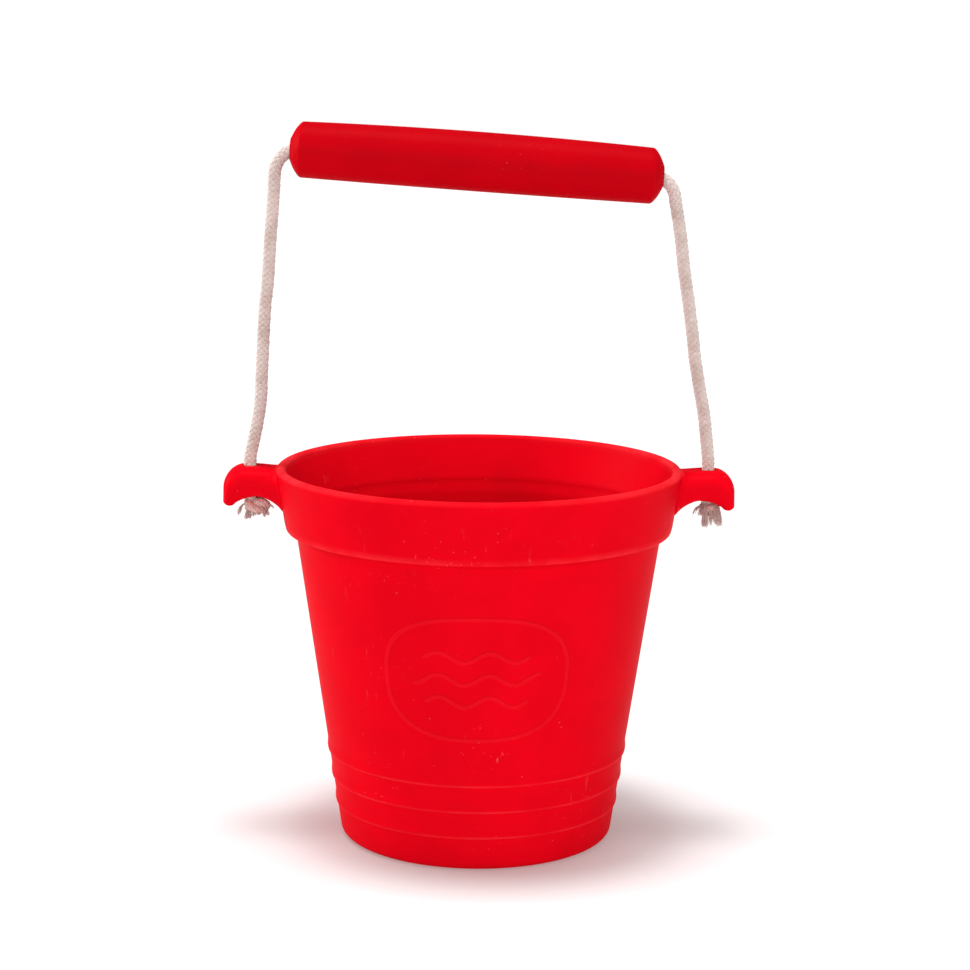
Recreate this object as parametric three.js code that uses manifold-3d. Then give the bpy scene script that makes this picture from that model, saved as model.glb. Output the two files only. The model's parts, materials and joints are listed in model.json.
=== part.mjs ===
// Child's sand bucket: a one-piece silicone pail with two hollow-backed ears, a cotton rope that runs
// up from one ear, through a silicone grip and down to the other ear, and a frayed knot under each ear.
//
// Frame: millimetres, +Z up. The origin is the centre of the flat base, on the surface that the bucket
// stands on. +X points to the right-hand ear and -Y is the front.

import * as THREE from 'three';
import * as BufferGeometryUtils from 'three/addons/utils/BufferGeometryUtils.js';
import Module from 'manifold-3d';

const wasm = await Module();
wasm.setup();

// ---------------------------------------------------------------- driving dimensions

// Pail
const BUCKET_HEIGHT = 125.4;      // base to the top of the rim
const RIM_RADIUS = 67.5;          // outside of the collar at the rim
const BASE_RADIUS = 45.5;         // outside of the wall, carried down to the base plane
const WALL = 3.3;                 // silicone thickness of wall, collar and ledge
const FLOOR = 3.5;                // thickness of the bottom
const BASE_ROUND = 3;             // outer edge round at the base
const FLOOR_FILLET = 5;           // inner fillet between the floor and the wall
const COLLAR_HEIGHT = 21;         // depth of the turned-out collar
const COLLAR_STEP = 3.4;          // how far the collar stands out from the wall
const COLLAR_ROUND = 1.2;         // round on the collar's lower edge
const RING_COUNT = 3;             // shingled rings near the base
const RING_FIRST = 11.2;          // height of the lowest ring's edge
const RING_PITCH = 9;             // height between ring edges
const RING_LIP = 0.5;             // how far a ring's edge stands out
const RING_RUN = 4.5;             // height over which a ring fades back into the wall

// Ears
const EAR_LENGTH = 17.5;          // from the rim's outside to the outer face of an ear
const EAR_WIDTH = 18;             // front to back
const EAR_TOP_DROP = 0.3;         // top of the ear below the rim
const EAR_ROOT_SAG = 0.6;         // how much lower the ear's top is where it meets the collar
const EAR_NECK = 9.9;             // thickness at the crown of the arch below
const EAR_LIP_DEPTH = 12.9;       // depth of the outer lip
const EAR_LIP_WIDTH = 4.8;        // foot of the outer lip, along X
const EAR_ROOT_DEPTH = 15.2;      // depth where the ear meets the collar
const EAR_SHOULDER = 7;           // size of the big round on the outer top
const EAR_CORNER = 1.5;           // round on the outer bottom corner
const EAR_EDGE_ROUND = 5.5;       // round along its top edges and upright corners

// Rope
const ROPE_DIAMETER = 4.2;
const ROPE_HOLE_OUT = 8.7;        // from the rim's outside to the rope hole of an ear
const HOLE_CLEARANCE = 0.4;       // around the rope in its hole
const KNOT_RADIUS = 4;
const KNOT_HALF_HEIGHT = 3.2;
const KNOT_DROP = 1;              // crown of the arch to the top of the knot
const FRAYED_LENGTH = 2.8;
const FRAYED_RADIUS = 3.6;
const ROPE_BEND = 8;              // radius at which the rope turns out of the grip

// Grip
const GRIP_LENGTH = 122;          // tip to tip
const GRIP_MIDDLE_RADIUS = 9.7;
const GRIP_END_RADIUS = 9.1;
const GRIP_TIP_RADIUS = 5.6;      // small end of the conical tip
const GRIP_TIP_LENGTH = 3.4;
const GRIP_BORE_CLEARANCE = 0.6;  // around the rope in the grip
const GRIP_MOUTH = 2.2;           // how much the bore widens at each mouth
const GRIP_RISE = 97.8;           // middle of the grip above the swing axis
const GRIP_SHIFT = -1.65;         // the grip sits a little to the left on the rope
const GRIP_TILT = THREE.MathUtils.degToRad(3.7);  // right-hand end lower

const GAP = 0.3;                  // left between touching pieces
const TURN_SEGMENTS = 72;         // around the pail
const GRIP_SEGMENTS = 28;         // around the grip and the rope holes
const KNOT_SEGMENTS = 16;         // around a knot and its frayed end
const ROPE_SIDES = 8;

// Each leg of the rope is straight but for a small sway. A pair is [share of the way up from the ear
// to the bend at the grip, distance towards the middle of the bucket].
const LEFT_SWAY = [
  [0.06, 0.7], [0.12, 1.3], [0.2, 1.8], [0.31, 1.35], [0.42, 0.95],
  [0.53, 0.6], [0.63, 0.75], [0.75, 0.45], [0.86, 0.3], [0.95, 0.15],
];
const RIGHT_SWAY = [
  [0.08, -0.3], [0.18, -0.55], [0.29, -0.15], [0.4, 0.1], [0.5, -0.1],
  [0.61, -0.15], [0.73, 0], [0.86, -0.25], [0.95, -0.15],
];

// ---------------------------------------------------------------- sizes that follow

const ROPE_RADIUS = ROPE_DIAMETER / 2;
const COLLAR_BOTTOM = BUCKET_HEIGHT - COLLAR_HEIGHT;
const TAPER = (RIM_RADIUS - COLLAR_STEP - BASE_RADIUS) / BUCKET_HEIGHT;
const EAR_REACH = RIM_RADIUS + EAR_LENGTH;
const ROPE_HOLE_X = RIM_RADIUS + ROPE_HOLE_OUT;
const EAR_TOP = BUCKET_HEIGHT - EAR_TOP_DROP;
const ARCH_CROWN = EAR_TOP - EAR_NECK;
const STUB_TOP = EAR_TOP + GAP;
const SWING_Z = STUB_TOP + GAP + ROPE_RADIUS;
const KNOT_Z = ARCH_CROWN - KNOT_DROP - KNOT_HALF_HEIGHT;
const GRIP_Z = SWING_Z + GRIP_RISE;

// Outer radius of the plain tapered wall at a height.
function wallRadius(z) {
  return BASE_RADIUS + TAPER * z;
}

// ---------------------------------------------------------------- materials

function silicone(colour) {
  return new THREE.MeshStandardMaterial({ color: colour, roughness: 0.5, metalness: 0 });
}

function cotton() {
  return new THREE.MeshStandardMaterial({ color: 0xe0cfc4, roughness: 0.95, metalness: 0 });
}

// ---------------------------------------------------------------- helpers

// Points along an arc, both ends included. Angles are in degrees.
function arcPoints(centreX, centreY, radius, from, to, steps) {
  const points = [];
  for (let i = 0; i <= steps; i += 1) {
    const angle = THREE.MathUtils.degToRad(from + (to - from) * i / steps);
    points.push(new THREE.Vector2(centreX + radius * Math.cos(angle), centreY + radius * Math.sin(angle)));
  }
  return points;
}

function point(x, y) {
  return new THREE.Vector2(x, y);
}

// A lathe body turns about +Y in three.js; this stands it up on +Z.
function turned(profile, segments) {
  return new THREE.LatheGeometry(profile, segments).rotateX(Math.PI / 2);
}

// A closed three.js mesh as a manifold-3d solid, with the shared vertices merged.
function solidOf(geometry) {
  const bare = geometry.clone();
  bare.deleteAttribute('normal');
  bare.deleteAttribute('uv');
  const merged = BufferGeometryUtils.mergeVertices(bare, 1e-4);
  return new wasm.Manifold(new wasm.Mesh({
    numProp: 3,
    vertProperties: new Float32Array(merged.attributes.position.array),
    triVerts: new Uint32Array(merged.index.array),
  }));
}

function geometryOf(solid) {
  const mesh = solid.getMesh();
  const geometry = new THREE.BufferGeometry();
  geometry.setAttribute('position', new THREE.BufferAttribute(new Float32Array(mesh.vertProperties), 3));
  geometry.setIndex(new THREE.BufferAttribute(new Uint32Array(mesh.triVerts), 1));
  geometry.computeVertexNormals();
  return geometry;
}

function named(name, geometry, material) {
  const mesh = new THREE.Mesh(geometry, material);
  mesh.name = name;
  return mesh;
}

// ---------------------------------------------------------------- the pail and its ears

// Half section of the pail: up the outside, over the round rim, down the inside and back to the axis.
// The wall steps out at the collar with the same thickness, so there is a ledge inside.
function pailProfile() {
  const rimRound = WALL / 2;
  const footRadius = wallRadius(BASE_ROUND) - BASE_ROUND;
  const profile = [point(0, 0)];
  profile.push(...arcPoints(footRadius, BASE_ROUND, BASE_ROUND, -90, 0, 4));
  for (let ring = 0; ring < RING_COUNT; ring += 1) {
    const edge = RING_FIRST + ring * RING_PITCH;
    profile.push(point(wallRadius(edge), edge));
    profile.push(point(wallRadius(edge) + RING_LIP, edge + RING_LIP / 2));
    profile.push(point(wallRadius(edge + RING_RUN), edge + RING_RUN));
  }
  profile.push(point(wallRadius(COLLAR_BOTTOM), COLLAR_BOTTOM));
  const collarFoot = wallRadius(COLLAR_BOTTOM) + COLLAR_STEP;
  profile.push(...arcPoints(collarFoot - COLLAR_ROUND, COLLAR_BOTTOM + COLLAR_ROUND, COLLAR_ROUND, -90, 0, 3));
  profile.push(...arcPoints(RIM_RADIUS - rimRound, BUCKET_HEIGHT - rimRound, rimRound, 0, 180, 8));
  const ledge = COLLAR_BOTTOM + WALL;
  profile.push(point(wallRadius(ledge) + COLLAR_STEP - WALL, ledge));
  profile.push(point(wallRadius(ledge) - WALL, ledge - rimRound));
  const filletTop = FLOOR + FLOOR_FILLET;
  const filletCentre = wallRadius(filletTop) - WALL - FLOOR_FILLET;
  profile.push(...arcPoints(filletCentre, filletTop, FLOOR_FILLET, 0, -90, 4));
  profile.push(point(0, FLOOR));
  return profile;
}

// Side view of one ear, outwards along x and up along y: a hook whose underside is an arch, with its
// crown midway between the collar and the lip.
function earOutline() {
  const rootX = RIM_RADIUS - WALL / 2;
  const lipZ = EAR_TOP - EAR_LIP_DEPTH;
  const archEnd = EAR_REACH - EAR_LIP_WIDTH;
  const crown = point((RIM_RADIUS + archEnd) / 2, ARCH_CROWN);
  const outerArch = new THREE.QuadraticBezierCurve(
    point(archEnd + EAR_CORNER, lipZ), point(archEnd - EAR_CORNER, ARCH_CROWN), crown);
  const innerArch = new THREE.QuadraticBezierCurve(
    crown, point(RIM_RADIUS + EAR_CORNER, ARCH_CROWN), point(rootX, EAR_TOP - EAR_ROOT_DEPTH));
  return new THREE.Shape([
    point(rootX, EAR_TOP - EAR_ROOT_SAG),
    ...arcPoints(EAR_REACH - EAR_SHOULDER, EAR_TOP - EAR_SHOULDER, EAR_SHOULDER, 90, 0, 7),
    ...arcPoints(EAR_REACH - EAR_CORNER, lipZ + EAR_CORNER, EAR_CORNER, 0, -90, 3),
    ...outerArch.getPoints(5),
    ...innerArch.getPoints(6).slice(1),
  ]);
}

// Plan of an ear, outwards along x and across along y, with round outer corners.
function earPlan() {
  const half = EAR_WIDTH / 2;
  const centreX = EAR_REACH - EAR_EDGE_ROUND;
  return new THREE.Shape([
    point(0, -half),
    ...arcPoints(centreX, EAR_EDGE_ROUND - half, EAR_EDGE_ROUND, -90, 0, 5),
    ...arcPoints(centreX, half - EAR_EDGE_ROUND, EAR_EDGE_ROUND, 0, 90, 5),
    point(0, half),
  ]);
}

// Cross-section of an ear, across along x and up along y, with its top rounded over to front and back.
function earSection() {
  const half = EAR_WIDTH / 2;
  const centreY = EAR_TOP - EAR_EDGE_ROUND;
  const bottom = EAR_TOP - EAR_ROOT_DEPTH - EAR_EDGE_ROUND;
  return new THREE.Shape([
    point(-half, bottom),
    point(half, bottom),
    ...arcPoints(half - EAR_EDGE_ROUND, centreY, EAR_EDGE_ROUND, 0, 90, 5),
    ...arcPoints(EAR_EDGE_ROUND - half, centreY, EAR_EDGE_ROUND, 90, 180, 5),
  ]);
}

// One ear as a solid laid out along +X: what its side view, its plan and its cross-section share.
function ear() {
  const side = new THREE.ExtrudeGeometry(earOutline(), { depth: EAR_WIDTH, bevelEnabled: false });
  side.translate(0, 0, -EAR_WIDTH / 2).rotateX(Math.PI / 2);
  const plan = new THREE.ExtrudeGeometry(earPlan(), { depth: EAR_TOP, bevelEnabled: false });
  const across = new THREE.ExtrudeGeometry(earSection(), { depth: EAR_REACH, bevelEnabled: false });
  across.rotateX(Math.PI / 2).rotateZ(Math.PI / 2);
  return solidOf(side).intersect(solidOf(plan)).intersect(solidOf(across));
}

// The space inside the pail, which keeps the root of an ear out of it.
function insideOfPail() {
  const inner = wallRadius(BUCKET_HEIGHT) + COLLAR_STEP - WALL;
  const profile = [
    point(0, COLLAR_BOTTOM),
    point(wallRadius(COLLAR_BOTTOM) - WALL / 2, COLLAR_BOTTOM),
    point(inner + WALL / 2, BUCKET_HEIGHT - WALL / 2),
    point(inner + WALL / 2, BUCKET_HEIGHT + WALL),
    point(0, BUCKET_HEIGHT + WALL),
  ];
  return solidOf(turned(profile, TURN_SEGMENTS));
}

function bucketBody() {
  const oneEar = ear().subtract(insideOfPail());
  const holeHeight = EAR_TOP + ROPE_DIAMETER - COLLAR_BOTTOM;
  const hole = new THREE.CylinderGeometry(
    ROPE_RADIUS + HOLE_CLEARANCE, ROPE_RADIUS + HOLE_CLEARANCE, holeHeight, GRIP_SEGMENTS);
  hole.rotateX(Math.PI / 2);
  hole.translate(ROPE_HOLE_X, 0, COLLAR_BOTTOM + holeHeight / 2);
  const drilled = oneEar.subtract(solidOf(hole));
  const pail = solidOf(turned(pailProfile(), TURN_SEGMENTS));
  return geometryOf(pail.add(drilled).add(drilled.rotate([0, 0, 180])));
}

// ---------------------------------------------------------------- the grip

// A slightly barrelled tube about its own middle, with conical tips and a bore that widens at its mouths.
function gripSleeve() {
  const half = GRIP_LENGTH / 2;
  const barrelHalf = half - GRIP_TIP_LENGTH;
  const bore = ROPE_RADIUS + GRIP_BORE_CLEARANCE;
  const swell = GRIP_MIDDLE_RADIUS - GRIP_END_RADIUS;
  const profile = [];
  const bands = 8;
  for (let i = 0; i <= bands; i += 1) {
    const along = -barrelHalf + 2 * barrelHalf * i / bands;
    profile.push(point(GRIP_MIDDLE_RADIUS - swell * (along / barrelHalf) ** 2, along));
  }
  profile.push(point(GRIP_TIP_RADIUS, half));
  profile.push(point(bore + GRIP_MOUTH, half));
  profile.push(point(bore, half - GRIP_TIP_LENGTH - GRIP_MOUTH));
  profile.push(point(bore, GRIP_TIP_LENGTH + GRIP_MOUTH - half));
  profile.push(point(bore + GRIP_MOUTH, -half));
  profile.push(point(GRIP_TIP_RADIUS, -half));
  profile.push(profile[0].clone());
  return new THREE.LatheGeometry(profile, GRIP_SEGMENTS).rotateZ(Math.PI / 2);
}

// ---------------------------------------------------------------- the rope

// Where the rope starts to turn down, just inside one mouth of the grip. Side is -1 left, 1 right.
function bendStart(side) {
  const reach = side * (GRIP_LENGTH / 2 - GRIP_TIP_LENGTH);
  return new THREE.Vector3(
    GRIP_SHIFT + reach * Math.cos(GRIP_TILT), 0, GRIP_Z - reach * Math.sin(GRIP_TILT));
}

// The bend's arc from the grip to the top of a leg, which ends pointing straight down.
function bendPoints(side) {
  const start = bendStart(side);
  const centre = new THREE.Vector3(
    start.x - ROPE_BEND * Math.sin(GRIP_TILT), 0, start.z - ROPE_BEND * Math.cos(GRIP_TILT));
  const from = Math.PI / 2 - GRIP_TILT;
  const to = side > 0 ? 0 : Math.PI;
  const points = [];
  const steps = 5;
  for (let i = 0; i <= steps; i += 1) {
    const angle = from + (to - from) * i / steps;
    points.push(new THREE.Vector3(
      centre.x + ROPE_BEND * Math.cos(angle), 0, centre.z + ROPE_BEND * Math.sin(angle)));
  }
  return points;
}

// One leg from its ear up to the bend, with its sway.
function legPoints(side, top, sway) {
  const foot = new THREE.Vector3(side * ROPE_HOLE_X, 0, SWING_Z);
  const points = [foot];
  for (const [share, inwards] of sway) {
    const place = foot.clone().lerp(top, share);
    place.x -= side * inwards;
    points.push(place);
  }
  return points;
}

// The rope from the swing axis at the left ear, through the grip, to the swing axis at the right ear.
function handleRopeCurve() {
  const leftBend = bendPoints(-1).reverse();
  const rightBend = bendPoints(1);
  const left = legPoints(-1, leftBend[0], LEFT_SWAY);
  const right = legPoints(1, rightBend[rightBend.length - 1], RIGHT_SWAY).reverse();
  const middle = leftBend[leftBend.length - 1].clone().lerp(rightBend[0], 0.5);
  return new THREE.CatmullRomCurve3([...left, ...leftBend, middle, ...rightBend, ...right], false, 'centripetal');
}

function ropeSection() {
  const section = new THREE.Shape();
  section.setFromPoints(arcPoints(0, 0, ROPE_RADIUS, 0, 360, ROPE_SIDES).slice(0, ROPE_SIDES));
  return section;
}

// The handle's stretch of rope. A round end about the swing axis keeps its place as the handle swings.
function handleRope() {
  const tube = new THREE.ExtrudeGeometry(ropeSection(), {
    steps: 64,
    extrudePath: handleRopeCurve(),
    bevelEnabled: false,
  });
  let rope = solidOf(tube);
  for (const side of [-1, 1]) {
    const end = new THREE.SphereGeometry(ROPE_RADIUS, 2 * ROPE_SIDES, ROPE_SIDES);
    end.translate(side * ROPE_HOLE_X, 0, SWING_Z);
    rope = rope.add(solidOf(end));
  }
  return geometryOf(rope);
}

// The short stretch inside an ear, from just above its top down to the knot.
function ropeInEar() {
  const bottom = KNOT_Z + KNOT_HALF_HEIGHT + GAP;
  const stub = new THREE.CylinderGeometry(ROPE_RADIUS, ROPE_RADIUS, STUB_TOP - bottom, 2 * ROPE_SIDES);
  return stub.rotateX(Math.PI / 2).translate(0, 0, (STUB_TOP + bottom) / 2);
}

function knot() {
  const ball = new THREE.SphereGeometry(KNOT_RADIUS, KNOT_SEGMENTS, KNOT_SEGMENTS / 2);
  return ball.rotateX(Math.PI / 2).scale(1, 1, KNOT_HALF_HEIGHT / KNOT_RADIUS).translate(0, 0, KNOT_Z);
}

// The loose strands below the knot, as a short flared skirt.
function frayedEnd() {
  const top = KNOT_Z - KNOT_HALF_HEIGHT - GAP;
  const profile = [
    point(0, top - FRAYED_LENGTH),
    point(FRAYED_RADIUS, top - FRAYED_LENGTH),
    point(ROPE_RADIUS, top),
    point(0, top),
  ];
  return turned(profile, KNOT_SEGMENTS);
}

// ---------------------------------------------------------------- assembly

const bucket = new THREE.Group();
bucket.add(named('bucket_body', bucketBody(), silicone(0xe2001a)));

for (const [side, place] of [['left', -ROPE_HOLE_X], ['right', ROPE_HOLE_X]]) {
  const end = new THREE.Group();
  end.position.x = place;
  end.add(named(`rope_in_${side}_ear`, ropeInEar(), cotton()));
  end.add(named(`${side}_knot`, knot(), cotton()));
  end.add(named(`${side}_frayed_end`, frayedEnd(), cotton()));
  bucket.add(end);
}

bucket.add(named('handle_rope', handleRope(), cotton()));

const grip = named('grip_sleeve', gripSleeve(), silicone(0xd00018));
grip.position.set(GRIP_SHIFT, 0, GRIP_Z);
grip.rotation.y = GRIP_TILT;
bucket.add(grip);

export default bucket;
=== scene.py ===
# %% [markdown]
# # A child's sand bucket with a rope handle
# The real thing is three pieces: a silicone moulding with two ears, a silicone grip, and a cotton rope
# that is knotted under each ear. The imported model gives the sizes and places, and this file makes the
# fine surfaces and finishes around it. Lengths are metres, +Z is up and the front faces -Y.

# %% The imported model
import json
import math

import bpy
import numpy as np
from mathutils import Matrix, Vector


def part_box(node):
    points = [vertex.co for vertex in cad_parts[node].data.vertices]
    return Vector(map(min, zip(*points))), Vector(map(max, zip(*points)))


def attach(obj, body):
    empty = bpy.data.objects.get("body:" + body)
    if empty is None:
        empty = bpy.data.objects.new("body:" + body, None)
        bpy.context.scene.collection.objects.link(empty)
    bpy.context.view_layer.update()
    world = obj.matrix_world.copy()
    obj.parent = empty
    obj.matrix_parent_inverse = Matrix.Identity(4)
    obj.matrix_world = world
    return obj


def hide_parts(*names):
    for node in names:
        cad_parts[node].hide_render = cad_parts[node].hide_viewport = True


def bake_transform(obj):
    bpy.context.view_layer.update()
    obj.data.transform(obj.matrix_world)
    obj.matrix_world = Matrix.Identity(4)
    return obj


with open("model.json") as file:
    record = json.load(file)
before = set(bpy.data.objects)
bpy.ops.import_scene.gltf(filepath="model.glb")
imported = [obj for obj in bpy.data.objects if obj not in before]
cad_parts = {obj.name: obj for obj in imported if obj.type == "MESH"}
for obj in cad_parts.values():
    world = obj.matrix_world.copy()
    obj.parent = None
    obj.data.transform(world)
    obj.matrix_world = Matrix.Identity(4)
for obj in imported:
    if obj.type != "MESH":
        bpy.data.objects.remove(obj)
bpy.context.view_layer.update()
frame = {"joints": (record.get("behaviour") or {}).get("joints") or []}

MM = 0.001

# %% [markdown]
# ## Places and sizes that everything shares
# The rim, the height, the reach of the ears and the rope's holes come from the boxes of the model's
# nodes, and the two joints give the swing line and the grip's own axis. Only small sizes that the model
# doesn't hold, such as edge rounds, are added below.

# %% Sizes from the model
pail_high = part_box("bucket_body")[1]
HEIGHT = pail_high[2]
RIM_RADIUS = pail_high[1]
EAR_REACH = pail_high[0]
stub_low, stub_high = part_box("rope_in_right_ear")
HOLE_X = (stub_low[0] + stub_high[0]) / 2
ROPE_RADIUS = (stub_high[0] - stub_low[0]) / 2
knot_low, knot_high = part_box("right_knot")
joint = {each["name"]: each for each in frame["joints"]}
SWING_Z = joint["handle_swing"]["pos_m"][2]
GRIP_CENTRE = np.array(joint["grip_spin"]["pos_m"])
GRIP_AXIS = np.array(joint["grip_spin"]["axis"])
ROPE_PROUD = 0.3 * MM
EAR_TOP = stub_high[2] - ROPE_PROUD
print(f"rim radius {RIM_RADIUS / MM:.1f}, height {HEIGHT / MM:.1f}, rope {2 * ROPE_RADIUS / MM:.2f} mm")

# %% [markdown]
# ## The camera
# The pail is seen from a little above its rim, almost square on, with a longish lens. A camera is
# placed by what it aims at, how far it stands off and how it is pitched and rolled.

# %% Camera
FILM_WIDTH = 36.0
LENS = 92.8
AIM = Vector((2.0 * MM, 0.0, 118.9 * MM))
STAND_OFF = 0.834
PITCH = math.radians(10.34)
ROLL = math.radians(0.57)

forward = Vector((0, math.cos(PITCH), -math.sin(PITCH)))
level = Vector((1, 0, 0))
upright = level.cross(forward)
right = math.cos(ROLL) * level + math.sin(ROLL) * upright
up = math.cos(ROLL) * upright - math.sin(ROLL) * level

camera_data = bpy.data.cameras.new("camera")
camera_data.lens = LENS
camera_data.sensor_width = FILM_WIDTH
camera_data.clip_start, camera_data.clip_end = 0.01, 20
camera = bpy.data.objects.new("camera", camera_data)
camera.matrix_world = Matrix((
    (right.x, up.x, -forward.x, AIM.x - forward.x * STAND_OFF),
    (right.y, up.y, -forward.y, AIM.y - forward.y * STAND_OFF),
    (right.z, up.z, -forward.z, AIM.z - forward.z * STAND_OFF),
    (0, 0, 0, 1),
))
bpy.context.scene.collection.objects.link(camera)
bpy.context.scene.camera = camera
bpy.context.scene.view_settings.view_transform = "Standard"
print("camera at", [round(value, 3) for value in camera.matrix_world.translation])

# %% [markdown]
# ## Surfaces from arrays
# Every new piece is a grid of points. Rows run along the piece and columns run round it; a closed
# direction joins its last line to its first. The ends of a tube are closed with one face each.


# %% Grid to mesh
def grid_faces(rows, columns, round_rows, round_columns):
    """Quads of a grid: corner (i, j) joins (i, j+1), (i+1, j+1) and (i+1, j), wrapping where closed."""
    i = np.arange(rows if round_rows else rows - 1)[:, None]
    j = np.arange(columns if round_columns else columns - 1)[None, :]
    next_i, next_j = (i + 1) % rows, (j + 1) % columns
    corners = [i * columns + j, i * columns + next_j, next_i * columns + next_j, next_i * columns + j]
    return np.stack([np.broadcast_to(c, (i.size, j.size)).ravel() for c in corners], axis=1)


def placed(name, data):
    """A new object for the data, at the origin and in the scene."""
    thing = bpy.data.objects.new(name, data)
    bpy.context.scene.collection.objects.link(thing)
    return thing


def mesh_object(name, points, faces, caps=()):
    """A mesh from an (n, 3) array of points, quads as an (m, 4) array, and lists of end-cap corners."""
    mesh = bpy.data.meshes.new(name)
    mesh.from_pydata(points.reshape(-1, 3).tolist(), [], faces.tolist() + [list(cap) for cap in caps])
    mesh.polygons.foreach_set("use_smooth", np.full(len(mesh.polygons), True))
    mesh.update()
    return placed(name, mesh)


def float_attribute(piece, name, values):
    """Stores one number per point, for a material to read."""
    layer = piece.data.attributes.new(name, "FLOAT", "POINT")
    layer.data.foreach_set("value", np.asarray(values, dtype=np.float32).ravel())


def tell(piece):
    """Prints how many triangles a piece has: a face of n corners is n - 2 triangles."""
    corners = np.empty(len(piece.data.polygons), dtype=np.int32)
    piece.data.polygons.foreach_get("loop_total", corners)
    print(f"{piece.name}: {(corners - 2).sum()} triangles")


# %% [markdown]
# ## Curves and frames along them
# A rope follows a route through a few chosen points. The route is smoothed with a Catmull-Rom curve,
# resampled at equal steps, and given a side and a normal direction at every step. The routes here are
# nearly flat, so one fixed reference direction keeps the frame from twisting.


# %% Curve helpers
SPAN_STEPS = 24


def smooth_route(points, step):
    """Centripetal Catmull-Rom through the points, resampled to equal steps of about the given length."""
    p = np.asarray(points, float)
    p = np.vstack([2 * p[0] - p[1], p, 2 * p[-1] - p[-2]])
    knots = np.concatenate([[0], np.cumsum(np.linalg.norm(np.diff(p, axis=0), axis=1) ** 0.5)])
    spans = zip(knots[1:-2], knots[2:-1])
    t = np.concatenate([np.linspace(low, high, SPAN_STEPS, endpoint=False) for low, high in spans])
    t = np.append(t, knots[-2])
    k = np.clip(np.searchsorted(knots, t, side="right") - 1, 1, len(p) - 3)

    def blend(a, b, low, high):
        share = ((t - low) / (high - low))[:, None]
        return (1 - share) * a + share * b

    t0, t1, t2, t3 = knots[k - 1], knots[k], knots[k + 1], knots[k + 2]
    a1 = blend(p[k - 1], p[k], t0, t1)
    a2 = blend(p[k], p[k + 1], t1, t2)
    a3 = blend(p[k + 1], p[k + 2], t2, t3)
    b1 = blend(a1, a2, t0, t2)
    b2 = blend(a2, a3, t1, t3)
    return resampled(blend(b1, b2, t1, t2), step)


def resampled(line, step):
    """The same line at equal spacing along its length."""
    along = np.concatenate([[0], np.cumsum(np.linalg.norm(np.diff(line, axis=0), axis=1))])
    count = max(2, int(round(along[-1] / step)) + 1)
    even = np.linspace(0, along[-1], count)
    return np.stack([np.interp(even, along, line[:, axis]) for axis in range(3)], axis=1)


def unit(vectors):
    return vectors / np.linalg.norm(vectors, axis=-1, keepdims=True)


def frames_along(line, reference):
    """Tangent, side = tangent x reference, and normal = side x tangent, at every point."""
    tangent = unit(np.gradient(line, axis=0))
    side = unit(np.cross(tangent, np.broadcast_to(reference, tangent.shape)))
    return tangent, side, np.cross(side, tangent)


# %% [markdown]
# ## The rope's route
# The rope starts in the knot under the left ear, climbs through the ear, stands up to the grip with a
# slight sway, turns through the grip and comes down to the right ear. The pairs below repeat the model's
# own choice: share of the way up a leg, and sway towards the middle in mm.

# %% The rope's route
LEFT_SWAY = [
    (0.06, 0.7), (0.12, 1.3), (0.2, 1.8), (0.31, 1.35), (0.42, 0.95),
    (0.53, 0.6), (0.63, 0.75), (0.75, 0.45), (0.86, 0.3), (0.95, 0.15),
]
RIGHT_SWAY = [
    (0.08, -0.3), (0.18, -0.55), (0.29, -0.15), (0.4, 0.1), (0.5, -0.1),
    (0.61, -0.15), (0.73, 0.0), (0.86, -0.25), (0.95, -0.15),
]
ROPE_BEND = 8 * MM
GRIP_LENGTH = 122 * MM
GRIP_TIP = 3.4 * MM
KNOT_Z = (knot_low[2] + knot_high[2]) / 2
tilt = math.atan2(-GRIP_AXIS[2], GRIP_AXIS[0])


def bend_points(side):
    """The arc out of one mouth of the grip. Its centre is a bend radius below the bore."""
    start = GRIP_CENTRE + side * (GRIP_LENGTH / 2 - GRIP_TIP) * GRIP_AXIS
    down = np.array([-math.sin(tilt), 0, -math.cos(tilt)])
    angle = np.linspace(math.pi / 2 - tilt, 0 if side > 0 else math.pi, 6)
    return start + ROPE_BEND * (down + np.stack([np.cos(angle), 0 * angle, np.sin(angle)], axis=1))


def leg_points(side, top, sway):
    """Points straight up from the ear to the bend, each moved inwards by its sway."""
    foot = np.array([side * HOLE_X, 0, SWING_Z])
    share, inwards = np.array(sway).T
    line = foot + share[:, None] * (top - foot)
    line[:, 0] -= side * inwards * MM
    return np.vstack([foot, line])


def in_ear(side):
    """Points up through the ear, from the middle of the knot to just below the swing line."""
    z = np.linspace(KNOT_Z, SWING_Z, 5)[:-1]
    return np.stack([np.full_like(z, side * HOLE_X), 0 * z, z], axis=1)


left_bend, right_bend = bend_points(-1)[::-1], bend_points(1)
through_grip = np.linspace(left_bend[-1], right_bend[0], 5)[1:-1]
route = np.vstack([
    in_ear(-1),
    leg_points(-1, left_bend[0], LEFT_SWAY), left_bend,
    through_grip,
    right_bend, leg_points(1, right_bend[-1], RIGHT_SWAY)[::-1],
    in_ear(1)[::-1],
])
ROPE_STEP = 0.55 * MM
rope_line = smooth_route(route, ROPE_STEP)

# %% [markdown]
# ## The braided rope
# A cotton cord of this size is a tubular braid: half of the strands wind one way, half the other, and
# each passes over one and under the next. Every strand is a real little tube whose distance from the
# middle of the rope rises and falls once for each crossing, so the scalloped edge is real. A strand is
# a little wider than it is thick, because the others press it flat.


# %% Braid
STRANDS_EACH_WAY = 6
STRAND_SIDES = 6
BRAID_LEAD = 11.5 * MM
STRAND_RADIUS = 0.70 * MM
STRAND_RIDE = 0.44
STRAND_WIDE, STRAND_FLAT = 1.18, 0.8
ROPE_SPREAD = 0.32 * MM


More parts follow.
